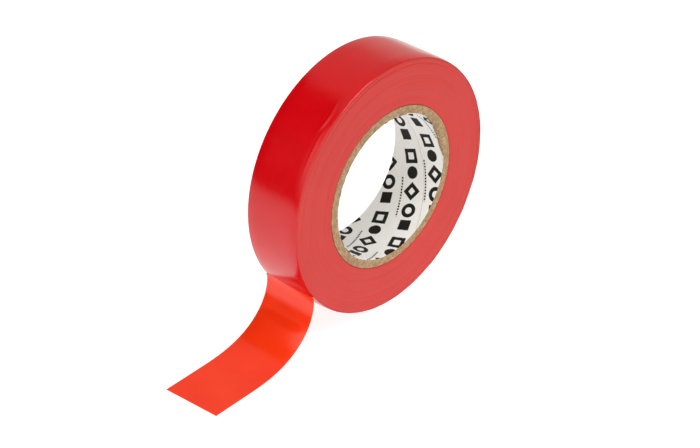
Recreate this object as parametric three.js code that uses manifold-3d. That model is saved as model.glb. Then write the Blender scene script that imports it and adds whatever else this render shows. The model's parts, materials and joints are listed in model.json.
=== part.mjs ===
// A roll of narrow electrical tape standing on its rim, with its free end
// peeled off the front of the roll and laid on the surface it stands on.
//
// Millimetres, +Z up. The roll's axis runs along X, the free end points to -Y,
// and the origin is the middle of the bounding box's base.

import * as THREE from 'three';
import Module from 'manifold-3d';

// Driving dimensions.
const TAPE_WIDTH = 15;
const FILM_THICKNESS = 0.15;
const ADHESIVE_THICKNESS = 0.03;
const ROLL_RADIUS = 31.1;
const CORE_RADIUS = 19.85;
const BORE_RADIUS = 17.75;
const TAIL_REACH = 58.5;

// The paper core: a thin printed liner inside three kraft plies. Each is wound
// as a helical band whose edges butt together along a narrow open seam.
const LINER_THICKNESS = 0.12;
const KRAFT_PLIES = 3;
const GLUE_LINE = 0.02;
const SEAM_WIDTH = 0.8;
const SEAM_TWIST_DEG = 126;
const SEAM_SPACING_DEG = 82;
const SEAM_STEPS = 28;

// Round faces are polygons with one facet lying flat at the very bottom.
const SEGMENTS = 96;
const STEP = (2 * Math.PI) / SEGMENTS;

// The outer turn ends at the peel line, counted in facets forward from the
// bottom, and leaves one facet of the turn below it bare.
const PEEL_STEP = 15.5;
const BARE_FACETS = 1;
const RUNNING_CLEARANCE = 0.06;

// The lead drops from the peel line and eases down flat.
const LEAD_DROP_DEG = 94;
const LEAD_EASE = 1.8;
const LEAD_PIECES = 20;
const TIP_LENGTH = 7;
const MOTION_GAP = 0.1;

// Worked out from the dimensions above.
const TAPE_THICKNESS = FILM_THICKNESS + ADHESIVE_THICKNESS;
const AXIS_HEIGHT = ROLL_RADIUS * Math.cos(STEP / 2);
const AXIS_Y = (TAIL_REACH - ROLL_RADIUS) / 2;
const TAIL_END_Y = AXIS_Y - TAIL_REACH;
const OUTER_TURN_INNER = ROLL_RADIUS - TAPE_THICKNESS;
const PACK_RADIUS = OUTER_TURN_INNER - RUNNING_CLEARANCE;
const PLY_THICKNESS = (CORE_RADIUS - BORE_RADIUS - LINER_THICKNESS) / KRAFT_PLIES - GLUE_LINE;

const wasm = await Module();
wasm.setup();

function surface(colour, roughness) {
  return new THREE.MeshStandardMaterial({ color: colour, roughness, metalness: 0 });
}

const MATERIALS = {
  woundFilm: surface(0xd84840, 0.5),
  film: surface(0xc81418, 0.2),
  tailFilm: surface(0xee4326, 0.25),
  adhesive: surface(0xd9452f, 0.6),
  kraft: surface(0xb9976a, 0.95),
  liner: surface(0xd8d6d0, 0.85),
};

// A corner of the round section, counted in facets from the bottom towards -Y.
function corner(radius, step) {
  const angle = step * STEP;
  const y = AXIS_Y - radius * Math.sin(angle);
  const z = AXIS_HEIGHT - radius * Math.cos(angle);
  return new THREE.Vector2(y, z);
}

function arc(radius, firstStep, lastStep) {
  const points = [];
  for (let step = firstStep; step <= lastStep; step += 1) {
    points.push(corner(radius, step));
  }
  return points;
}

// Extrudes an outline drawn in the YZ plane across the tape's width. The axes
// are swapped exactly, so that faces which meet keep identical vertices.
function acrossWidth(outline, width = TAPE_WIDTH) {
  const geometry = new THREE.ExtrudeGeometry(outline, { depth: width, bevelEnabled: false });
  const swap = new THREE.Matrix4();
  swap.set(0, 0, 1, -width / 2, 1, 0, 0, 0, 0, 1, 0, 0, 0, 0, 0, 1);
  return geometry.applyMatrix4(swap);
}

function ring(inner, outer) {
  const outline = new THREE.Shape(arc(outer, 0.5, SEGMENTS - 0.5));
  outline.holes.push(new THREE.Path(arc(inner, 0.5, SEGMENTS - 0.5).reverse()));
  return acrossWidth(outline);
}

// The last turn of the tape, open just below the peel line.
function openTurn(inner, outer) {
  const lastStep = PEEL_STEP + SEGMENTS - BARE_FACETS;
  const outside = arc(outer, PEEL_STEP, lastStep);
  const inside = arc(inner, PEEL_STEP, lastStep).reverse();
  return acrossWidth(new THREE.Shape([...outside, ...inside]));
}

// Corners closer than this are one corner of a closed solid.
const WELD_DISTANCE = 1e-4;

function toSolid(geometry) {
  const source = geometry.index ? geometry.toNonIndexed() : geometry;
  const position = source.attributes.position;
  const seen = new Map();
  const vertices = [];
  const triangles = [];
  for (let i = 0; i < position.count; i += 1) {
    const point = [position.getX(i), position.getY(i), position.getZ(i)];
    const key = point.map((value) => Math.round(value / WELD_DISTANCE)).join();
    if (!seen.has(key)) {
      seen.set(key, seen.size);
      vertices.push(...point);
    }
    triangles.push(seen.get(key));
  }
  const mesh = new wasm.Mesh({
    numProp: 3,
    vertProperties: new Float32Array(vertices),
    triVerts: new Uint32Array(triangles),
  });
  return new wasm.Manifold(mesh);
}

function toGeometry(solid) {
  const mesh = solid.getMesh();
  const geometry = new THREE.BufferGeometry();
  geometry.setAttribute('position', new THREE.BufferAttribute(mesh.vertProperties, 3));
  geometry.setIndex(new THREE.BufferAttribute(mesh.triVerts, 1));
  return geometry;
}

// A blade through the core wall at one angle, twisted into a helix.
function seamBlade(seamDeg) {
  const depth = CORE_RADIUS - BORE_RADIUS + 2;
  const length = TAPE_WIDTH + 2;
  const blade = new THREE.BoxGeometry(length, SEAM_WIDTH, depth, SEAM_STEPS, 1, 1);
  blade.translate(0, 0, (BORE_RADIUS + CORE_RADIUS) / 2);
  const position = blade.attributes.position;
  const point = new THREE.Vector3();
  const axis = new THREE.Vector3(1, 0, 0);
  for (let i = 0; i < position.count; i += 1) {
    point.fromBufferAttribute(position, i);
    const turn = seamDeg - (SEAM_TWIST_DEG * point.x) / TAPE_WIDTH;
    point.applyAxisAngle(axis, THREE.MathUtils.degToRad(turn));
    position.setXYZ(i, point.x, point.y + AXIS_Y, point.z + AXIS_HEIGHT);
  }
  return blade;
}

// One spiral-wound layer of the core: a tube slit along its helical seam.
function spiralPly(inner, outer, seamDeg) {
  const tube = toSolid(ring(inner, outer));
  const slit = tube.subtract(toSolid(seamBlade(seamDeg)));
  return toGeometry(slit);
}

// The film's upper face along the lead: it drops steeply from the peel line
// and its slope eases to nothing where it lands.
function leadLine() {
  const start = corner(ROLL_RADIUS, PEEL_STEP);
  const headings = [];
  for (let i = 0; i < LEAD_PIECES; i += 1) {
    const along = (i + 0.5) / LEAD_PIECES;
    headings.push(THREE.MathUtils.degToRad(LEAD_DROP_DEG) * (1 - along) ** LEAD_EASE);
  }
  const dropPerUnit = headings.reduce((sum, heading) => sum + Math.sin(heading), 0);
  const pieceLength = (start.y - TAPE_THICKNESS) / dropPerUnit;
  const points = [start];
  for (const heading of headings) {
    const last = points[points.length - 1];
    const y = last.x - Math.cos(heading) * pieceLength;
    const z = last.y - Math.sin(heading) * pieceLength;
    points.push(new THREE.Vector2(y, z));
  }
  return points;
}

// The unit direction from one side of a line to the other at each of its
// points, pointing from the glossy backing to the adhesive.
function inwardNormals(points) {
  return points.map((point, i) => {
    const before = points[Math.max(i - 1, 0)];
    const after = points[Math.min(i + 1, points.length - 1)];
    const along = after.clone().sub(before).normalize();
    if (i === points.length - 1) {
      return new THREE.Vector2(0, -1);
    }
    return new THREE.Vector2(-along.y, along.x);
  });
}

// A layer of the tape under a line drawn on its backing, between two depths.
function layerUnder(points, upper, lower) {
  const normals = inwardNormals(points);
  const offset = (depth) => points.map((point, i) => point.clone().addScaledVector(normals[i], depth));
  return acrossWidth(new THREE.Shape([...offset(upper), ...offset(lower).reverse()]));
}

function flatLayer(startY, endY, upper, lower) {
  const top = TAPE_THICKNESS - upper;
  const bottom = TAPE_THICKNESS - lower;
  const outline = new THREE.Shape([
    new THREE.Vector2(startY, top),
    new THREE.Vector2(endY, top),
    new THREE.Vector2(endY, bottom),
    new THREE.Vector2(startY, bottom),
  ]);
  return acrossWidth(outline);
}

const object = new THREE.Group();

function add(name, geometry, material) {
  const mesh = new THREE.Mesh(geometry, material);
  mesh.name = name;
  object.add(mesh);
}

function addCore() {
  add('core_liner', spiralPly(BORE_RADIUS, BORE_RADIUS + LINER_THICKNESS, 0), MATERIALS.liner);
  const names = ['core_inner_ply', 'core_middle_ply', 'core_outer_ply'];
  names.forEach((name, i) => {
    const inner = BORE_RADIUS + LINER_THICKNESS + GLUE_LINE + i * (PLY_THICKNESS + GLUE_LINE);
    const ply = spiralPly(inner, inner + PLY_THICKNESS, (i + 1) * SEAM_SPACING_DEG);
    add(name, ply, MATERIALS.kraft);
  });
}

function addWoundTape() {
  add('wound_tape', ring(CORE_RADIUS, PACK_RADIUS), MATERIALS.woundFilm);
  const boundary = OUTER_TURN_INNER + ADHESIVE_THICKNESS;
  add('outer_turn_adhesive', openTurn(OUTER_TURN_INNER, boundary), MATERIALS.adhesive);
  add('outer_turn_film', openTurn(boundary, ROLL_RADIUS), MATERIALS.film);
}

function addTail() {
  const lead = leadLine();
  const firstPiece = lead[1].clone().sub(lead[0]).normalize();
  lead[0].addScaledVector(firstPiece, MOTION_GAP);
  const leadEndY = lead[lead.length - 1].x;
  const tipStartY = TAIL_END_Y + TIP_LENGTH;
  const layers = [
    ['film', 0, FILM_THICKNESS, MATERIALS.tailFilm],
    ['adhesive', FILM_THICKNESS, TAPE_THICKNESS, MATERIALS.adhesive],
  ];
  for (const [layer, upper, lower, material] of layers) {
    add(`lead_${layer}`, layerUnder(lead, upper, lower), material);
    add(`run_${layer}`, flatLayer(leadEndY - MOTION_GAP, tipStartY, upper, lower), material);
    add(`tip_${layer}`, flatLayer(tipStartY - MOTION_GAP, TAIL_END_Y, upper, lower), material);
  }
}

addCore();
addWoundTape();
addTail();

export default object;
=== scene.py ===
"""The looks of a roll of electrical tape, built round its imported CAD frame.

Lengths are in metres, as in the frame. MM turns the millimetres of the named
sizes into metres. Angles round the roll are counted from straight down
towards the side where the tape's free end lies (-Y).
"""

import json
import math

import bmesh
import bpy
import numpy as np
from mathutils import Matrix, Vector


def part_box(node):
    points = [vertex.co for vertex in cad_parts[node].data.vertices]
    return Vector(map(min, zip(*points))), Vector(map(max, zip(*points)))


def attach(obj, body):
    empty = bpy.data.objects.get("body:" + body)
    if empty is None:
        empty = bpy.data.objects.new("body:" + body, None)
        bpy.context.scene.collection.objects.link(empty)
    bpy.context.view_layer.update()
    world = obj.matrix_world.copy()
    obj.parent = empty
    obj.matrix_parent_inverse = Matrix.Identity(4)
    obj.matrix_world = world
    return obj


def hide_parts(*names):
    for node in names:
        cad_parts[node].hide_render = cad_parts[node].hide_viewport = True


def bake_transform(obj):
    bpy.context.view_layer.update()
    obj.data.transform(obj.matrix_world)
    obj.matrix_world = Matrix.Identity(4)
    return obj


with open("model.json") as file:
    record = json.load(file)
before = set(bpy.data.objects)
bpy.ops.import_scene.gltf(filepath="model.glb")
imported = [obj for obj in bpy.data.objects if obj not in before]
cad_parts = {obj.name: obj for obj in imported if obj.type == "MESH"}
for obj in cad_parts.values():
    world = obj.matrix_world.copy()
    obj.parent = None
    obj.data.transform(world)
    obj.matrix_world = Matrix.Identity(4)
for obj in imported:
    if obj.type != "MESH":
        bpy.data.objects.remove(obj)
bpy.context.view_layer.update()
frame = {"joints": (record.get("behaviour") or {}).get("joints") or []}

MM = 0.001

# ---------------------------------------------------------------- the frame


def half_height(node):
    """Half the height of a node's box: the radius of a node round the axis."""
    low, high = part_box(node)
    return (high.z - low.z) / 2


def joint(name):
    """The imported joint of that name."""
    return next(j for j in frame["joints"] if j["name"] == name)


pack_low, pack_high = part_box("wound_tape")
AXIS_Y = (pack_low.y + pack_high.y) / 2
AXIS_Z = (pack_low.z + pack_high.z) / 2
HALF_WIDTH = pack_high.x
ROLL_RADIUS = half_height("outer_turn_film")
PACK_RADIUS = half_height("wound_tape")
CORE_RADIUS = half_height("core_outer_ply")
LINER_RADIUS = half_height("core_liner")
PEEL = Vector(joint("peel_swing")["pos_m"])
TIP_HINGE_Y = joint("tip_lift")["pos_m"][1]
LEAD_END_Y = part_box("lead_film")[0].y
RUN_START_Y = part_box("run_film")[1].y
TAIL_END_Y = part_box("tip_film")[0].y
PEEL_ANGLE = math.atan2(AXIS_Y - PEEL.y, AXIS_Z - PEEL.z)

# ------------------------------------------------------------ driving sizes

FILM = 0.15 * MM
GLUE = 0.03 * MM
TAPE = FILM + GLUE
LINER = 0.12 * MM

# The winding swells between its side faces, and its two rims are pressed down.
SWELL = 0.25 * MM
CROWN_BAND = 2.8 * MM
NEAR_CROWN = 0.24 * MM
FAR_CROWN = 0.17 * MM

# A film's slit edges are rounded off on its outer face.
EDGE_ROUND = 0.24 * MM
EDGE_DROP = 0.08 * MM

# How unevenly the turns' slit edges stand on a side face: the slowly and the
# quickly varying part, the groove between two turns, and the gap at the core.
TELESCOPE = 0.019 * MM
EDGE_JITTER = 0.004 * MM
TURN_GROOVE = 0.0045 * MM
CORE_GAP = 0.25 * MM
CORE_GAP_WIDTH = 0.25 * MM

# The rows of vertices over one turn's edge, as shares of its thickness, and
# the number of turns over which a side face settles towards its rim.
RIDGE_ROWS = (0.0, 0.28, 0.72)
SETTLED_TURNS = 3

# The rim of a side face: its bevel, and the groove a little below it, which
# shows only round one angle.
BEVEL_DROP = 0.06 * MM
BEVEL_WIDTH = 0.35 * MM
GROOVE_DROP = 0.1 * MM
GROOVE_BELOW = 0.95 * MM
GROOVE_WIDTH = 0.16 * MM
GROOVE_MIDDLE = math.radians(222)

# The last turn: the unevenness of its tread, how far its near edge strays and
# over which band, and the angle over which pulling at the tape narrows it.
TREAD_SWELL = 0.012 * MM
TREAD_RIPPLE = 0.004 * MM
WANDER = 0.05 * MM
WANDER_BAND = 1.2 * MM
PULL_ANGLE = math.radians(2.5)

# The blister: where its middle lies round and across the tread, how it bends
# towards the middle of the tape, and its half length. Then the heights and
# half widths of its bubble, of the crease beside it and of the fold beyond it.
BLISTER_ANGLE = math.radians(146)
BLISTER_ACROSS = 5.5 * MM
BLISTER_BEND = 0.045 / MM
BLISTER_LENGTH = 3.4 * MM
BUBBLE_HEIGHT = 0.13 * MM
BUBBLE_WIDTH = 0.36 * MM
CREASE_HEIGHT = 0.075 * MM
CREASE_WIDTH = 0.17 * MM
CREASE_BESIDE = 1.05 * MM
FOLD_HEIGHT = 0.05 * MM
FOLD_WIDTH = 0.25 * MM
FOLD_LENGTH = 4.5 * MM
FOLD_ALONG = -8.5 * MM
FOLD_ACROSS = 6.1 * MM

# The core's plies: strips wound as a helix, butted along their edges, with a
# sliver of air between two plies and rough slit ends.
SEAM_TWIST = math.radians(126)
SEAM_ANGLES = {
    "core_liner": math.radians(270),
    "core_inner_ply": math.radians(190),
    "core_middle_ply": math.radians(100),
    "core_outer_ply": math.radians(20),
}
SEAM_GAP = 0.12 * MM
PLY_GAP = 0.01 * MM
KRAFT_RAGGED = 0.07 * MM
LINER_RAGGED = 0.02 * MM

# The liner is torn back from its near edge over a short arc.
LINER_INSET = 0.05 * MM
TEAR_MIDDLE = math.radians(247)
TEAR_HALF_ANGLE = math.radians(24)
TEAR_DEPTH = 2.8 * MM

# The lead: its slope at the peel line, how that slope eases to level, the
# length over which it turns away from the roll, and how many of its first
# points still follow the last turn.
LEAD_DROP = math.radians(94)
LEAD_EASE = 1.8
PEEL_BEND = 0.45 * MM
PEEL_POINTS = 8

# The free end: how much the pull narrows it and how far down it, the slope of
# its cut across the width, and how far the middle of its free stretch bulges
# out, with the places along it where the bulge begins, is highest and ends.
NECK = 0.025
PULL_LENGTH = 25 * MM
CUT_SKEW = 0.055
BULGE = 0.75 * MM
BULGE_START = 7.6 * MM
BULGE_TOP = 10.4 * MM
BULGE_END = 18 * MM

# Where its pieces meet: how far on the roll's side of the lead's end and of the
# tip's hinge, and half the stretch of tape that bends as the tip is lifted.
RUN_CUT = 2.5 * MM
TIP_CUT = 1.2 * MM
TIP_BEND = 0.9 * MM

# Points of a mesh that lie closer than this are one point.
WELD = 0.0002 * MM


def wobble(seed, values, frequencies, falloff=0.5):
    """A smooth, repeatable wobble between about -1 and 1."""
    rng = np.random.default_rng(seed)
    values = np.asarray(values, float)
    total = np.zeros_like(values)
    power = 0.0
    for frequency in frequencies:
        weight = float(frequency) ** -falloff
        total += weight * np.sin(frequency * values + rng.uniform(0, 2 * math.pi))
        power += weight * weight
    return total / math.sqrt(2 * power)


def smoothstep(values, start, end):
    """0 up to the start, 1 from the end on, and a soft step between them."""
    t = np.clip((np.asarray(values, float) - start) / (end - start), 0, 1)
    return t * t * (3 - 2 * t)


def ridge(values, middle, half_width):
    """A smooth ridge, 1 high, over a row of places."""
    return np.exp(-((values - middle) / half_width) ** 2)


def on_ring(radius, angle, across):
    """Points at a radius, an angle round the roll and a place across its width."""
    radius, angle, across = np.broadcast_arrays(radius, angle, across)
    y = AXIS_Y - radius * np.sin(angle)
    z = AXIS_Z - radius * np.cos(angle)
    return np.stack([across, y, z], axis=-1)


def crown(across):
    """How far the winding's surface stands off a true cylinder, inwards.

    The middle of the soft winding swells and its two edges are drawn in.
    """
    across = np.asarray(across)
    inside = np.abs(across) - (HALF_WIDTH - CROWN_BAND)
    drop = np.where(across > 0, NEAR_CROWN, FAR_CROWN)
    return drop * np.clip(inside / CROWN_BAND, 0, 1) ** 2 - SWELL


def edge_round(across):
    """The extra drop that rounds off a film's slit edges."""
    inside = np.abs(across) - (HALF_WIDTH - EDGE_ROUND)
    return EDGE_DROP * np.clip(inside / EDGE_ROUND, 0, 1) ** 2


# ------------------------------------------------------------------- meshes


def new_object(name, vertices, faces, smooth_angle):
    """A mesh object, shaded smooth up to an angle, with its normals outwards."""
    mesh = bpy.data.meshes.new(name)
    mesh.from_pydata(np.asarray(vertices).reshape(-1, 3).tolist(), [], faces)
    shape = bmesh.new()
    shape.from_mesh(mesh)
    bmesh.ops.remove_doubles(shape, verts=shape.verts, dist=WELD)
    bmesh.ops.dissolve_degenerate(shape, edges=shape.edges, dist=WELD)
    bmesh.ops.recalc_face_normals(shape, faces=shape.faces)
    shape.to_mesh(mesh)
    shape.free()
    mesh.shade_smooth()
    mesh.set_sharp_from_angle(angle=smooth_angle)
    piece = bpy.data.objects.new(name, mesh)
    bpy.context.scene.collection.objects.link(piece)
    return piece


def band(low, high, count):
    """The faces between two closed rows of vertices, given each row's first."""
    faces = []
    for j in range(count):
        after = (j + 1) % count
        faces.append((low + j, low + after, high + after, high + j))
    return faces


def swept(name, stations, smooth_angle):
    """A closed solid through a row of stations, each a loop of as many points."""
    stations = np.asarray(stations)
    count, loop = stations.shape[:2]
    faces = []
    for i in range(count - 1):
        faces += band(i * loop, (i + 1) * loop, loop)
    faces.append(tuple(range(loop)))
    faces.append(tuple(range((count - 1) * loop, count * loop)))
    return new_object(name, stations, faces, smooth_angle)


# ------------------------------------------------------------- wound turns


def side_edges(seed, turn, along):
    """How proud each turn's slit edge stands, by its turn and its angle."""
    strip = (turn + along / (2 * math.pi)) * 2 * math.pi
    slow = wobble(seed, strip, [0.041, 0.077, 0.13, 0.21])
    fast = wobble(seed + 1, strip, [0.9, 1.7, 2.9, 4.3, 6.1], 0.2)
    return TELESCOPE * slow + EDGE_JITTER * fast


def shoulder(radius, angle, rim):
    """How far the last turns draw in: a soft rim, above a shallow groove."""
    below = rim - radius
    bevel = BEVEL_DROP * (1 - smoothstep(below, 0, BEVEL_WIDTH))
    nearness = 0.5 + 0.5 * np.cos(angle - GROOVE_MIDDLE)
    groove = GROOVE_DROP * ridge(below, GROOVE_BELOW, GROOVE_WIDTH)
    return bevel + groove * smoothstep(nearness, 0.45, 0.85)


def wound_side(side, seed, angles):
    """Radius and proudness over one side face, its ridges wound as a spiral."""
    turns = round((PACK_RADIUS - CORE_RADIUS) / TAPE)
    pitch = (PACK_RADIUS - CORE_RADIUS) / turns
    rows = np.arange(len(RIDGE_ROWS) * (turns + 1) + 1)
    turn = rows // len(RIDGE_ROWS)
    share = np.array(RIDGE_ROWS)[rows % len(RIDGE_ROWS)]
    spiral = (turn + share)[:, None] - 1 + angles[None, :] / (2 * math.pi)
    rim = PACK_RADIUS - crown(side * HALF_WIDTH)
    radius = np.clip(CORE_RADIUS + spiral * pitch, CORE_RADIUS, rim)
    proud = side_edges(seed, turn[:, None], angles[None, :])
    proud = proud - TURN_GROOVE * (share == 0)[:, None]
    proud = proud - CORE_GAP * (1 - smoothstep(radius - CORE_RADIUS, 0, CORE_GAP_WIDTH))
    proud = proud * np.clip((rim - radius) / (SETTLED_TURNS * pitch), 0, 1)
    return radius, proud - shoulder(radius, angles[None, :], rim)


def side_faces(rows, stations, first_row):
    """The faces of one side. Past a full turn a ridge goes on one turn out."""
    faces = []
    for i in range(rows - 1):
        for j in range(stations):
            wraps = j == stations - 1
            step = len(RIDGE_ROWS) if wraps else 0
            after = 0 if wraps else j + 1
            low, high = min(i + step, rows - 1), min(i + 1 + step, rows - 1)
            corners = [(i, j), (low, after), (high, after), (i + 1, j)]
            face = [(first_row + row) * stations + column for row, column in corners]
            if len(set(face)) == 4:
                faces.append(tuple(face))
            elif len(set(face)) == 3:
                faces.append(tuple(dict.fromkeys(face)))
    return faces


def make_wound_turns(stations=240, wall_rows=16):
    """The turns under the last one: two ridged sides, the tread and the bore."""
    angles = np.linspace(0, 2 * math.pi, stations, endpoint=False)
    points = []
    for side, seed in ((1, 11), (-1, 23)):
        radius, proud = wound_side(side, seed, angles)
        points.append(on_ring(radius, angles[None, :], side * (HALF_WIDTH + proud)))
    rows = points[0].shape[0]
    right_rim, left_rim = points[0][-1, :, 0], points[1][-1, :, 0]
    shares = (1 - np.cos(np.linspace(0, math.pi, wall_rows))) / 2
    for share in shares[1:-1]:
        across = right_rim + (left_rim - right_rim) * share
        points.append(on_ring(PACK_RADIUS - crown(across), angles, across)[None])
    faces = side_faces(rows, stations, 0) + side_faces(rows, stations, rows)
    wall = [rows - 1, *range(2 * rows, 2 * rows + wall_rows - 2), 2 * rows - 1]
    bore = [0, rows]
    for low, high in [*zip(wall, wall[1:]), *zip(bore, bore[1:])]:
        faces += band(low * stations, high * stations, stations)
    piece = new_object("wound_turns", np.concatenate(points), faces, math.radians(50))
    mark_tread(piece)
    return piece


def mark_tread(piece):
    """Give the winding's outer wall the second material, that of the tread."""
    for polygon in piece.data.polygons:
        middle = polygon.center
        radius = math.hypot(middle.y - AXIS_Y, middle.z - AXIS_Z)
        on_wall = abs(polygon.normal.x) < 0.7 and radius > PACK_RADIUS - 0.1 * MM
        polygon.material_index = 1 if on_wall else 0


# -------------------------------------------------------------- outer turn


def necked(across, share):
    """Places across the tape where pulling it off the roll has narrowed it."""
    return np.asarray(across) * (1 - NECK * share)


def blister(angle, across):
    """A sliver of trapped air near the rim, with a crease beside it."""
    along = (angle - BLISTER_ANGLE) * ROLL_RADIUS
    beside = across - (BLISTER_ACROSS - BLISTER_BEND * along * along)
    length = np.exp(-((along / BLISTER_LENGTH) ** 4))
    bubble = BUBBLE_HEIGHT * ridge(beside, 0, BUBBLE_WIDTH)
    crease = CREASE_HEIGHT * ridge(beside, -CREASE_BESIDE, CREASE_WIDTH)
    fold = FOLD_HEIGHT * ridge(along, FOLD_ALONG, FOLD_LENGTH)
    return length * (bubble + crease) + fold * ridge(across, FOLD_ACROSS, FOLD_WIDTH)


def tread_waves(angle, across):
    """The slight unevenness of a tightly wound film."""
    wide = wobble(31, angle, [2, 3, 5, 8])
    fine = wobble(37, angle, [13, 21, 34]) * wobble(41, across / MM, [0.35, 0.8])
    return TREAD_SWELL * wide + TREAD_RIPPLE * fine


def edge_wander(angle, across):
    """How far the slit near edge strays from a true circle."""
    share = smoothstep(across, HALF_WIDTH - WANDER_BAND, HALF_WIDTH)
    return WANDER * share * wobble(67, angle, [4, 9, 16, 27, 44], 0.3)


def strip_loop(columns):
    """Places across a strip on its outer face, and back on its inner face.

    They lie closer together towards both edges.
    """
    across = HALF_WIDTH * np.sin(np.linspace(-math.pi / 2, math.pi / 2, columns))
    return across, across[::-1]


def make_outer_turn(name, upper, lower, tapered, columns, stations=420):
    """One layer of the last turn, from the peel line round the roll and back to it.

    From the bottom of the roll to its end, which lies behind the peel line, it
    thins by the share tapered.
    """
    angles = PEEL_ANGLE + np.linspace(0, 2 * math.pi, stations)
    outward, inward = strip_loop(columns)
    taper = 1 - tapered * smoothstep(angles, 2 * math.pi, angles[-1])
    rings = []
    for angle, share in zip(angles, taper):
        base = ROLL_RADIUS - lower
        outside = base + (lower - upper) * share - crown(outward)
        if upper == 0:
            outside = outside - edge_round(outward) * share
            outside = outside + tread_waves(angle, outward) + blister(angle, outward)
        inside = base - crown(inward)
        pull = 1 - smoothstep(angle - PEEL_ANGLE, 0, PULL_ANGLE)
        ring = np.concatenate([
            on_ring(outside, angle, necked(outward, pull) + edge_wander(angle, outward)),
            on_ring(inside, angle, necked(inward, pull) + edge_wander(angle, inward)),
        ])
        ring[:, 2] = np.maximum(ring[:, 2], upper)
        rings.append(ring)
    return swept(name, rings, math.radians(60))


# -------------------------------------------------------------------- core


def make_ply(name, inner, outer, seam, ragged, tear=None, stations=300):
    """One helically wound strip of the core, with a rough slit end."""
    columns = 13
    radii = np.linspace(inner, outer, 4)
    across = np.linspace(-1, 1, columns) * HALF_WIDTH
    right, left = np.full(2, HALF_WIDTH), np.full(2, -HALF_WIDTH)
    loop_x = np.concatenate([across, right, across[::-1], left])
    loop_r = np.concatenate([
        np.full(columns, outer), radii[::-1][1:-1], np.full(columns, inner), radii[1:-1],
    ])
    gap = SEAM_GAP / math.sin(math.atan2(2 * HALF_WIDTH, SEAM_TWIST * outer)) / outer
    span = 2 * math.pi - gap
    end = np.sign(loop_x) * (np.abs(loop_x) > HALF_WIDTH * 0.999)
    rings = []
    for share in np.linspace(0, 1, stations):
        angle = seam + gap / 2 + share * span + SEAM_TWIST * loop_x / (2 * HALF_WIDTH)
        rough = wobble(53, angle * 40 + loop_r / MM * 9, [1, 2.3, 3.9, 6.1], 0.2)
        x = loop_x + end * ragged * (0.6 * rough - 0.6)
        if tear is not None:
            x = np.minimum(x, tear(angle))
        rings.append(on_ring(loop_r, angle, x))
    return swept(name, rings, math.radians(35))


def torn_edge(angle):
    """Where the liner's near edge lies, at an angle round the roll."""
    angle = np.mod(angle, 2 * math.pi)
    place = (angle - TEAR_MIDDLE) / TEAR_HALF_ANGLE
    depth = np.clip(1 - place * place, 0, 1) ** 0.6
    rough = 0.8 + 0.4 * wobble(61, angle * 26, [1, 2.3, 4.1, 7.3], 0.1)
    return HALF_WIDTH - LINER_INSET - TEAR_DEPTH * depth * rough


def make_core():
    """The three kraft plies and the printed liner, by the CAD nodes they replace."""
    bore = LINER_RADIUS - LINER
    wall = (CORE_RADIUS - LINER_RADIUS) / 3
    pieces = {}
    for i, name in enumerate(("core_inner_ply", "core_middle_ply", "core_outer_ply")):
        inner = LINER_RADIUS + i * wall
        pieces[name] = make_ply(
            "kraft_" + name, inner + PLY_GAP, inner + wall, SEAM_ANGLES[name], KRAFT_RAGGED,
        )
    pieces["core_liner"] = make_ply(
        "printed_liner", bore, LINER_RADIUS, SEAM_ANGLES["core_liner"], LINER_RAGGED,
        torn_edge, stations=720,
    )
    return pieces


# -------------------------------------------------------------------- tail


def lead_line(count=150):
    """The backing's line from the peel line down to where it lies flat."""
    start = on_ring(ROLL_RADIUS + SWELL, PEEL_ANGLE, 0.0)[1:]
    share = (np.arange(count) + 0.5) / count
    bend = math.pi - PEEL_ANGLE - LEAD_DROP
    length = 30 * MM  # a first guess, which the rounds below bring to its true value
    for _ in range(30):
        slope = LEAD_DROP * (1 - share) ** LEAD_EASE
        slope = slope + bend * np.exp(-share * length / PEEL_BEND)
        length = (start[1] - TAPE) / np.mean(np.sin(slope))
    steps = np.stack([-np.cos(slope), -np.sin(slope)], axis=-1) * length / count
    return np.concatenate([[start], start + np.cumsum(steps, axis=0)])


def tail_line():
    """The whole free end's line on its backing, and the direction to its glue."""
    lead = lead_line()
    flat_y = np.arange(lead[-1, 0] - 0.1 * MM, TAIL_END_Y, -0.1 * MM)
    flat_y = np.append(flat_y, TAIL_END_Y)
    flat = np.stack([flat_y, np.full_like(flat_y, TAPE)], axis=-1)
    line = np.concatenate([lead, flat])
    along = np.gradient(line, axis=0)
    along /= np.linalg.norm(along, axis=1)[:, None]
    inward = np.stack([-along[:, 1], along[:, 0]], axis=-1)
    inward[line[:, 1] <= TAPE * 1.001] = (0, -1)
    return line, inward


def bulge_height(run):
    """How far the middle of the strip stands off the line of its edges."""
    rise = smoothstep(run, BULGE_START, BULGE_TOP)
    return BULGE * rise * (1 - smoothstep(run, BULGE_TOP, BULGE_END))


def tail_rows():
    """The free end's stations from the peel line to its cut, and the run to each.

    A station is its point on the backing, the direction to its glue, how much
    it is narrowed there and how far its middle bulges out.
    """
    line, inward = tail_line()
    steps = np.linalg.norm(np.diff(line, axis=0), axis=1)
    run = np.concatenate([[0], np.cumsum(steps)])
    pulls = 1 - smoothstep(run, 0, PULL_LENGTH)
    return list(zip(line, inward, pulls, bulge_height(run))), run


def make_tail_piece(name, rows, upper, lower):
    """One layer of a stretch of the free end, between two depths in the tape."""
    outward, back = strip_loop(30)
    rings = []
    for point, normal, pull, bulge in rows:
        ring = []
        for across, depth in ((outward, upper), (back, lower)):
            offset = depth - bulge * (1 - (across / HALF_WIDTH) ** 4)
            skew = CUT_SKEW * across * smoothstep(-point[0], -TIP_HINGE_Y, -TAIL_END_Y)
            ring.append(np.stack([
                necked(across, pull),
                point[0] + normal[0] * offset + skew,
                point[1] + normal[1] * offset,
            ], axis=-1))
        rings.append(np.concatenate(ring))
    return swept(name, rings, math.radians(60))


# ---------------------------------------------------------------- materials


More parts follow.
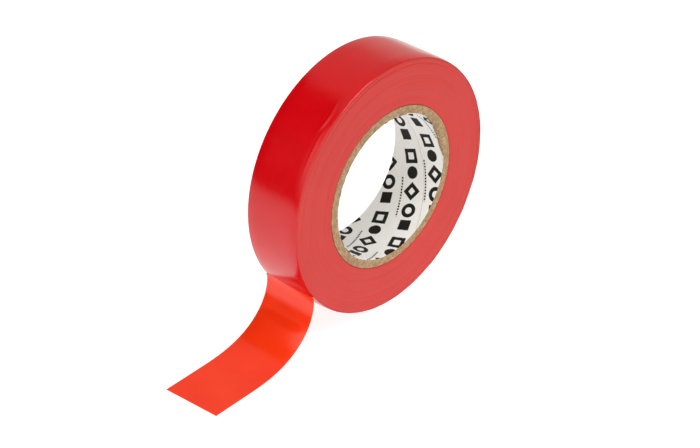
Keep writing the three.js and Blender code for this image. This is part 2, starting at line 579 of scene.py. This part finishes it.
class Nodes:
    """A node tree of a new material or world, with short ways to build it."""

    def __init__(self, name, kind="materials"):
        self.owner = getattr(bpy.data, kind).new(name)
        self.owner.use_nodes = True
        self.tree = self.owner.node_tree
        self.tree.nodes.clear()

    def add(self, kind, inputs=(), **settings):
        node = self.tree.nodes.new("ShaderNode" + kind)
        for key, value in settings.items():
            setattr(node, key, value)
        for key, value in dict(inputs).items():
            self.feed(node.inputs[key], value)
        return node

    def feed(self, socket, value):
        if isinstance(value, bpy.types.NodeSocket):
            self.tree.links.new(value, socket)
        else:
            socket.default_value = value

    def math(self, operation, a, b=0.0, c=0.0):
        return self.add("Math", {0: a, 1: b, 2: c}, operation=operation).outputs[0]

    def vector(self, x, y, z):
        return self.add("CombineXYZ", {0: x, 1: y, 2: z}).outputs[0]

    def noise(self, vector, scale, detail=2.0, roughness=0.5):
        inputs = {"Vector": vector, "Scale": scale, "Detail": detail, "Roughness": roughness}
        return self.add("TexNoise", inputs).outputs["Fac"]

    def ramp(self, value, *stops):
        """Colours or greys by value; each stop is (place, colour or grey)."""
        node = self.add("ValToRGB", {"Fac": value})
        elements = node.color_ramp.elements
        while len(elements) < len(stops):
            elements.new(0.5)
        for element, (place, colour) in zip(elements, stops):
            grey = isinstance(colour, (int, float))
            element.position = place
            element.color = (colour, colour, colour, 1) if grey else (*colour, 1)
        return node.outputs["Color"]

    def mix(self, factor, a, b):
        node = self.add("Mix", data_type="RGBA")
        self.feed(node.inputs["Factor"], factor)
        self.feed(node.inputs["A"], a if not isinstance(a, tuple) else (*a, 1))
        self.feed(node.inputs["B"], b if not isinstance(b, tuple) else (*b, 1))
        return node.outputs["Result"]

    def bump(self, height, distance):
        inputs = {"Height": height, "Distance": distance, "Strength": 1.0}
        return self.add("Bump", inputs).outputs["Normal"]

    def finish(self, **inputs):
        """End in one surface: base_color feeds its socket Base Color, and so on."""
        sockets = {
            key.replace("_", " ").title().replace("Ior", "IOR"): value
            for key, value in inputs.items()
        }
        shader = self.add("BsdfPrincipled", sockets)
        self.add("OutputMaterial", {"Surface": shader.outputs[0]})
        return self.owner


def roll_place(nodes):
    """A place across the width and, from the roll's axis, in y and z; in millimetres."""
    place = nodes.add("TexCoord").outputs["Object"]
    split = nodes.add("SeparateXYZ", {0: place}).outputs
    x = nodes.math("MULTIPLY", split[0], 1 / MM)
    y = nodes.math("MULTIPLY", nodes.math("SUBTRACT", split[1], AXIS_Y), 1 / MM)
    z = nodes.math("MULTIPLY", nodes.math("SUBTRACT", split[2], AXIS_Z), 1 / MM)
    return x, y, z


def length_of(nodes, a, b):
    """The length of a step a one way and b square to it."""
    return nodes.math("SQRT", nodes.math("MULTIPLY_ADD", a, a, nodes.math("MULTIPLY", b, b)))


def wound_edge_material():
    """The slit edges of the turns: matte, streaked along the winding."""
    nodes = Nodes("wound_edges")
    x, y, z = roll_place(nodes)
    space = nodes.vector(x, y, z)
    radius = length_of(nodes, y, z)
    dy = nodes.math("DIVIDE", y, radius)
    dz = nodes.math("DIVIDE", z, radius)
    streak_space = nodes.vector(
        nodes.math("MULTIPLY", radius, 2.2),
        nodes.math("MULTIPLY", dy, 1.6),
        nodes.math("MULTIPLY", dz, 1.6),
    )
    streaks = nodes.noise(streak_space, 1.0, 4.0, 0.6)
    broad = nodes.noise(space, 0.09, 2.0)
    tone = nodes.math("MULTIPLY_ADD", broad, 0.55, nodes.math("MULTIPLY", streaks, 0.45))
    colour = nodes.ramp(tone, (0.3, (0.60, 0.012, 0.007)), (0.7, (0.66, 0.019, 0.012)))
    speck = nodes.noise(space, 3.2, 1.0)
    dust = nodes.ramp(speck, (0.77, 0.0), (0.8, 1.0))
    colour = nodes.mix(nodes.math("MULTIPLY", dust, 0.2), colour, (0.8, 0.3, 0.2))
    fine = nodes.noise(nodes.vector(nodes.math("MULTIPLY", radius, 5.0), y, z), 1.2, 3.0)
    return nodes.finish(
        base_color=colour,
        roughness=nodes.ramp(streaks, (0.3, 0.42), (0.7, 0.6)),
        normal=nodes.bump(fine, 0.012 * MM),
    )


def film_material(name, deep, pale):
    """Glossy soft vinyl, smooth but for a faint unevenness."""
    nodes = Nodes(name)
    space = nodes.vector(*roll_place(nodes))
    tone = nodes.noise(space, 0.12, 2.0)
    skin = nodes.noise(space, 0.9, 3.0, 0.55)
    return nodes.finish(
        base_color=nodes.ramp(tone, (0.3, deep), (0.7, pale)),
        roughness=nodes.ramp(skin, (0.3, 0.16), (0.7, 0.22)),
        normal=nodes.bump(skin, 0.006 * MM),
    )


def glue_material():
    """The tape's adhesive side: a duller red, clouded and half matte."""
    nodes = Nodes("adhesive_coat")
    cloud = nodes.noise(nodes.vector(*roll_place(nodes)), 1.4, 3.0)
    return nodes.finish(
        base_color=nodes.ramp(cloud, (0.3, (0.66, 0.07, 0.035)), (0.7, (0.72, 0.09, 0.045))),
        roughness=nodes.ramp(cloud, (0.3, 0.35), (0.7, 0.5)),
        normal=nodes.bump(cloud, 0.01 * MM),
    )


def kraft_material():
    """Brown board: fibres, specks and a rough slit end."""
    nodes = Nodes("kraft_board")
    x, y, z = roll_place(nodes)
    space = nodes.vector(x, y, z)
    cloud = nodes.noise(space, 0.9, 4.0, 0.65)
    colour = nodes.ramp(cloud, (0.32, (0.34, 0.20, 0.098)), (0.68, (0.54, 0.36, 0.20)))
    fibre = nodes.noise(nodes.vector(x, nodes.math("MULTIPLY", y, 2.5), z), 2.2, 3.0)
    colour = nodes.mix(nodes.ramp(fibre, (0.57, 0.0), (0.63, 0.75)), colour, (0.2, 0.10, 0.055))
    light = nodes.noise(nodes.vector(y, x, nodes.math("MULTIPLY", z, 2.0)), 1.3, 3.0)
    colour = nodes.mix(nodes.ramp(light, (0.56, 0.0), (0.70, 0.5)), colour, (0.74, 0.58, 0.40))
    return nodes.finish(
        base_color=colour,
        roughness=0.92,
        normal=nodes.bump(nodes.noise(space, 4.0, 4.0, 0.7), 0.08 * MM),
    )


# The liner's print, in millimetres: rows of plain shapes along the strip that
# it is wound from. Each shape is its kind, its place along the row, its half
# size and half the width of its line, where 0 makes it solid.
PRINT_PITCH_ALONG = 22.5
PRINT_ROWS = 6
PRINT_ROW_SHIFT = 7.0
STAMPS = (
    ("square", -8.35, 1.75, 0.46),
    ("disc", -4.4, 1.5, 0.0),
    ("diamond", 0.05, 2.25, 0.46),
    ("disc", 4.8, 1.8, 0.48),
    ("square", 8.7, 1.4, 0.0),
)

# A line of dots above each row: the dots' half size, their spacing, and the
# height, middle and half length of the line.
DOT = ("square", 0.0, 0.22, 0.0)
DOT_PITCH = 0.7
DOT_LEVEL = 2.85
DOTS_MIDDLE = 1.5
DOTS_REACH = 5.0

# How quickly the ink's edge goes from paper to ink.
INK_EDGE = 8.0


def stamp_distance(nodes, stamp, along, up):
    """How far a place is outside a stamp, negative inside it."""
    kind, centre, size, line = stamp
    a = nodes.math("ABSOLUTE", nodes.math("SUBTRACT", along, centre))
    u = nodes.math("ABSOLUTE", up)
    if kind == "square":
        edge = nodes.math("SUBTRACT", nodes.math("MAXIMUM", a, u), size)
    elif kind == "diamond":
        beyond = nodes.math("SUBTRACT", nodes.math("ADD", a, u), size)
        edge = nodes.math("MULTIPLY", beyond, 0.707)
    else:
        edge = nodes.math("SUBTRACT", length_of(nodes, a, u), size)
    if line == 0:
        return edge
    rim = nodes.math("ABSOLUTE", nodes.math("ADD", edge, line))
    return nodes.math("SUBTRACT", rim, line)


def print_space(nodes):
    """Places along the liner's strip, in millimetres, and up it, in rows."""
    x, y, z = roll_place(nodes)
    bore = (LINER_RADIUS - LINER) / MM
    twist = SEAM_TWIST / (2 * HALF_WIDTH / MM)
    slope = math.atan2(1, twist * bore)
    down = nodes.math("MULTIPLY", z, -1.0)
    angle = nodes.math("ARCTAN2", nodes.math("MULTIPLY", y, -1.0), down)
    seam = nodes.math("MULTIPLY_ADD", x, twist, SEAM_ANGLES["core_liner"])
    turn = nodes.math("FLOORED_MODULO", nodes.math("SUBTRACT", angle, seam), 2 * math.pi)
    rows = nodes.math("MULTIPLY", turn, PRINT_ROWS / (2 * math.pi))
    wound = nodes.math("MULTIPLY_ADD", x, twist, turn)
    around = nodes.math("MULTIPLY", wound, bore * math.cos(slope))
    along = nodes.math("MULTIPLY_ADD", x, math.sin(slope), around)
    pitch = 2 * math.pi * bore * math.sin(slope) / PRINT_ROWS
    return along, rows, pitch, nodes.vector(x, y, z)


def print_distance(nodes, cell, level):
    """How far a place is outside the print, by its place along and up a row."""
    away = [stamp_distance(nodes, stamp, cell, level) for stamp in STAMPS]
    nearest = away[0]
    for distance in away[1:]:
        nearest = nodes.math("MINIMUM", nearest, distance)
    step = nodes.math("FLOORED_MODULO", cell, DOT_PITCH)
    dots = nodes.math("SUBTRACT", step, DOT_PITCH / 2)
    above = nodes.math("SUBTRACT", level, DOT_LEVEL)
    dot = stamp_distance(nodes, DOT, dots, above)
    off_middle = nodes.math("ABSOLUTE", nodes.math("SUBTRACT", cell, DOTS_MIDDLE))
    beyond = nodes.math("SUBTRACT", off_middle, DOTS_REACH)
    return nodes.math("MINIMUM", nearest, nodes.math("MAXIMUM", dot, beyond))


def liner_material():
    """White paper printed with rows of plain squares, discs, rings and dots."""
    nodes = Nodes("printed_paper")
    along, rows, pitch, space = print_space(nodes)
    row = nodes.math("FLOOR", rows)
    shifted = nodes.math("MULTIPLY_ADD", row, PRINT_ROW_SHIFT, along)
    repeat = nodes.math("FLOORED_MODULO", shifted, PRINT_PITCH_ALONG)
    cell = nodes.math("SUBTRACT", repeat, PRINT_PITCH_ALONG / 2)
    up = nodes.math("SUBTRACT", rows, row)
    level = nodes.math("MULTIPLY_ADD", up, pitch, -pitch / 2)
    distance = print_distance(nodes, cell, level)
    depth = nodes.math("MULTIPLY_ADD", distance, -INK_EDGE, 0.5)
    ink = nodes.ramp(depth, (0.2, 0.0), (0.8, 1.0))
    fibre = nodes.noise(space, 2.2, 4.0, 0.6)
    paper = nodes.ramp(fibre, (0.3, (0.875, 0.85, 0.84)), (0.7, (0.925, 0.90, 0.89)))
    return nodes.finish(
        base_color=nodes.mix(ink, paper, (0.010, 0.009, 0.008)),
        roughness=nodes.ramp(ink, (0.0, 0.8), (1.0, 0.6)),
        specular_ior_level=0.2,
        normal=nodes.bump(fibre, 0.02 * MM),
    )


def floor_material():
    """A pale light table that fades out towards its rim."""
    nodes = Nodes("studio_floor")
    place = nodes.add("TexCoord").outputs["Object"]
    darker, lighter = FLOOR_GREYS
    table = nodes.add("BsdfPrincipled", {
        "Base Color": nodes.ramp(nodes.noise(place, 6.0), (0.3, darker), (0.7, lighter)),
        "Roughness": 0.7,
        "Emission Color": (1.0, 1.0, 1.0, 1.0),
        "Emission Strength": FLOOR_GLOW,
    })
    reach = nodes.add("VectorMath", {0: place}, operation="LENGTH").outputs["Value"]
    inside = nodes.add("MapRange", {0: reach, 1: FLOOR_FADE[1], 2: FLOOR_FADE[0]},
                       interpolation_type="SMOOTHSTEP").outputs[0]
    clear = nodes.add("BsdfTransparent")
    surface = nodes.add("MixShader", {0: inside, 1: clear.outputs[0], 2: table.outputs[0]})
    nodes.add("OutputMaterial", {"Surface": surface.outputs[0]})
    return nodes.owner


# ------------------------------------------------------- camera and lights

# The camera: its lens in millimetres, its distance from the point it aims at,
# its direction and tilt, and how far right of and above the roll's axis it aims.
CAMERA_LENS = 115.0
CAMERA_DISTANCE = 0.5113
CAMERA_AZIMUTH = math.radians(43.96)
CAMERA_HEIGHT = math.radians(34.23)
CAMERA_TILT = math.radians(-1.73)
CAMERA_AIM = (-4.34 * MM, -10.94 * MM)


def facing(azimuth, height):
    """The unit direction from the object out to a viewer."""
    flat = math.cos(height)
    return Vector((math.sin(azimuth) * flat, -math.cos(azimuth) * flat, math.sin(height)))


def make_camera():
    """A camera above and beside the roll, in front of its near side face."""
    back = facing(CAMERA_AZIMUTH, CAMERA_HEIGHT)
    right = Vector((math.cos(CAMERA_AZIMUTH), math.sin(CAMERA_AZIMUTH), 0))
    up = back.cross(right)
    aim = Vector((0, AXIS_Y, AXIS_Z)) + right * CAMERA_AIM[0] + up * CAMERA_AIM[1]
    tilt = Matrix.Rotation(CAMERA_TILT, 3, back)
    axes = Matrix((tilt @ right, tilt @ up, back)).transposed()
    camera = bpy.data.objects.new("camera", bpy.data.cameras.new("camera"))
    camera.data.lens = CAMERA_LENS
    camera.data.clip_start = 0.01
    camera.matrix_world = Matrix.Translation(aim + back * CAMERA_DISTANCE) @ axes.to_4x4()
    bpy.context.scene.collection.objects.link(camera)
    bpy.context.scene.camera = camera


# The room's even light, how much of it the dark lobe takes away, and what the
# front and the backdrop add to it. WARM tints it all.
SKY = 0.45
DARKNESS = 0.92
FRONT = 1.12
BACKDROP = 0.25
WARM = (1.0, 1.0, 0.9)

# Each soft patch of the room: its direction, and the cosines of the angles off
# it at which it begins and at which it is full.
DARK_LOBE = ((-0.82, -0.55, 0.25), 0.62, 0.72)
FRONT_LOBE = ((0.15, -0.85, 0.5), 0.68, 0.90)
BACKDROP_LOBE = ((-0.5, 0.85, 0.1), 0.9, 0.995)

# The floor is a disc that glows a little, so that shadows on it stay faint. It
# fades into the white background between the two distances of FLOOR_FADE.
FLOOR_RADIUS = 0.7
FLOOR_FADE = (0.1, 0.62)
FLOOR_GREYS = (0.34, 0.36)
FLOOR_GLOW = 0.88

# Each softbox: its direction from the roll (azimuth, height), distance, size
# (width, height) and power.
SOFTBOXES = {
    "key": ((100, 65), 1.0, (0.6, 0.6), 3.8),
    "top": ((170, 80), 1.0, (0.5, 0.5), 0.8),
}


def make_lights():
    """The softboxes, each facing the roll."""
    target = Vector((0, AXIS_Y, AXIS_Z))
    for name, (direction, distance, size, power) in SOFTBOXES.items():
        light = bpy.data.lights.new(name, "AREA")
        light.shape = "RECTANGLE"
        light.size, light.size_y = size
        light.energy = power
        lamp = bpy.data.objects.new(name, light)
        out = facing(*map(math.radians, direction))
        lamp.location = target + out * distance
        lamp.rotation_mode = "QUATERNION"
        lamp.rotation_quaternion = out.to_track_quat("Z", "Y")
        bpy.context.scene.collection.objects.link(lamp)


def lobe(nodes, direction, towards, start, end):
    """How far a direction lies within a soft patch of the room, from 0 to 1."""
    towards = Vector(towards).normalized()
    near = nodes.add("VectorMath", {0: direction, 1: towards}, operation="DOT_PRODUCT")
    amount = nodes.add("MapRange", {0: near.outputs["Value"], 1: start, 2: end},
                       interpolation_type="SMOOTHSTEP")
    return amount.outputs[0]


def make_world():
    """A soft room, dark to one side, bright in front and behind; white to the camera."""
    nodes = Nodes("studio", "worlds")
    direction = nodes.add("TexCoord").outputs["Generated"]
    dark = lobe(nodes, direction, *DARK_LOBE)
    front = lobe(nodes, direction, *FRONT_LOBE)
    glow = lobe(nodes, direction, *BACKDROP_LOBE)
    light = nodes.math("MULTIPLY_ADD", dark, -SKY * DARKNESS, SKY)
    light = nodes.math("MULTIPLY_ADD", front, FRONT, light)
    light = nodes.math("MULTIPLY_ADD", glow, BACKDROP, light)
    camera_ray = nodes.add("LightPath").outputs["Is Camera Ray"]
    warm = [nodes.math("MULTIPLY", light, tint) for tint in WARM]
    colour = nodes.mix(camera_ray, nodes.vector(*warm), (1.0, 1.0, 1.0))
    background = nodes.add("Background", {"Color": colour})
    nodes.add("OutputWorld", {"Surface": background.outputs[0]})
    bpy.context.scene.world = nodes.owner


def make_floor():
    """The disc that the roll stands on."""
    shape = bmesh.new()
    bmesh.ops.create_circle(shape, cap_ends=True, segments=96, radius=FLOOR_RADIUS)
    mesh = bpy.data.meshes.new("floor")
    shape.to_mesh(mesh)
    shape.free()
    floor = bpy.data.objects.new("floor", mesh)
    floor.data.materials.append(floor_material())
    bpy.context.scene.collection.objects.link(floor)


# ------------------------------------------------------------------ assembly


def dress(piece, material, slot, *nodes):
    """Give a piece its material and hide the CAD nodes that it replaces; the slot is not used.
    """
    piece.data.materials.append(material)
    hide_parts(*nodes)
    return piece


def build_roll(tread):
    """What turns as tape is drawn off: the wound turns and the core."""
    turns = dress(make_wound_turns(), wound_edge_material(), "wound_film", "wound_tape")
    turns.data.materials.append(tread)
    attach(turns, "roll")
    kraft = kraft_material()
    for node, ply in make_core().items():
        if node == "core_liner":
            dress(ply, liner_material(), "liner", node)
        else:
            dress(ply, kraft, "kraft", node)
        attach(ply, "roll")


def build_outer_turn(tread, glue):
    """The last turn, which the free end is peeled from."""
    film = make_outer_turn("outer_turn_backing", 0.0, FILM, 0.85, 64)
    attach(dress(film, tread, "film", "outer_turn_film"), "outer_turn")
    coat = make_outer_turn("outer_turn_coat", FILM, TAPE, 0.0, 24)
    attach(dress(coat, glue, "adhesive", "outer_turn_adhesive"), "outer_turn")


def build_tail(glue):
    """The free end: a backing and a coat for each of its stretches, lead, run and tip."""
    # The single film's base colour is painted light: it is the tread's vinyl made much
    # brighter, standing in for light that passes through the thin film from the pale floor
    # beneath and back.
    film_with_painted_backlight = film_material("single_film_painted_backlight", (0.94, 0.034, 0.003), (0.99, 0.043, 0.006))
    rows, run = tail_rows()
    line = np.array([row[0] for row in rows])
    run_cut = int(np.argmin(np.abs(line[:, 0] - (LEAD_END_Y + RUN_CUT))))
    tip_cut = int(np.argmin(np.abs(line[:, 0] - (TIP_HINGE_Y + TIP_CUT))))
    hinge_start, hinge_end = (TIP_HINGE_Y + TIP_BEND, TAPE), (TIP_HINGE_Y - TIP_BEND, TAPE)
    run_start = (RUN_START_Y, TAPE)
    stretches = (
        ("lead", 0, run_cut, "outer_turn", "lead", line[0], line[PEEL_POINTS]),
        ("run", run_cut, tip_cut, "lead", "tail_run", line[run_cut], run_start),
        ("tip", tip_cut, len(line) - 1, "tail_run", "tail_tip", hinge_start, hinge_end),
    )
    layers = (
        ("backing", 0.0, FILM, film_with_painted_backlight, "tail_film", "film"),
        ("coat", FILM, TAPE, glue, "adhesive", "adhesive"),
    )
    for name, first, final, before, after, start, end in stretches:
        for layer, upper, lower, material, slot, node in layers:
            part = rows[first:final + 1]
            piece = make_tail_piece(f"tail_{name}_{layer}", part, upper, lower)
            dress(piece, material, slot, f"{name}_{node}")
            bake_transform(piece)


def main():
    glue = glue_material()
    tread = film_material("tread_film", (0.60, 0.0, 0.003), (0.66, 0.001, 0.006))
    make_camera()
    make_world()
    make_lights()
    make_floor()
    build_roll(tread)
    build_outer_turn(tread, glue)
    build_tail(glue)
    bpy.context.scene.view_settings.view_transform = "Standard"


main()
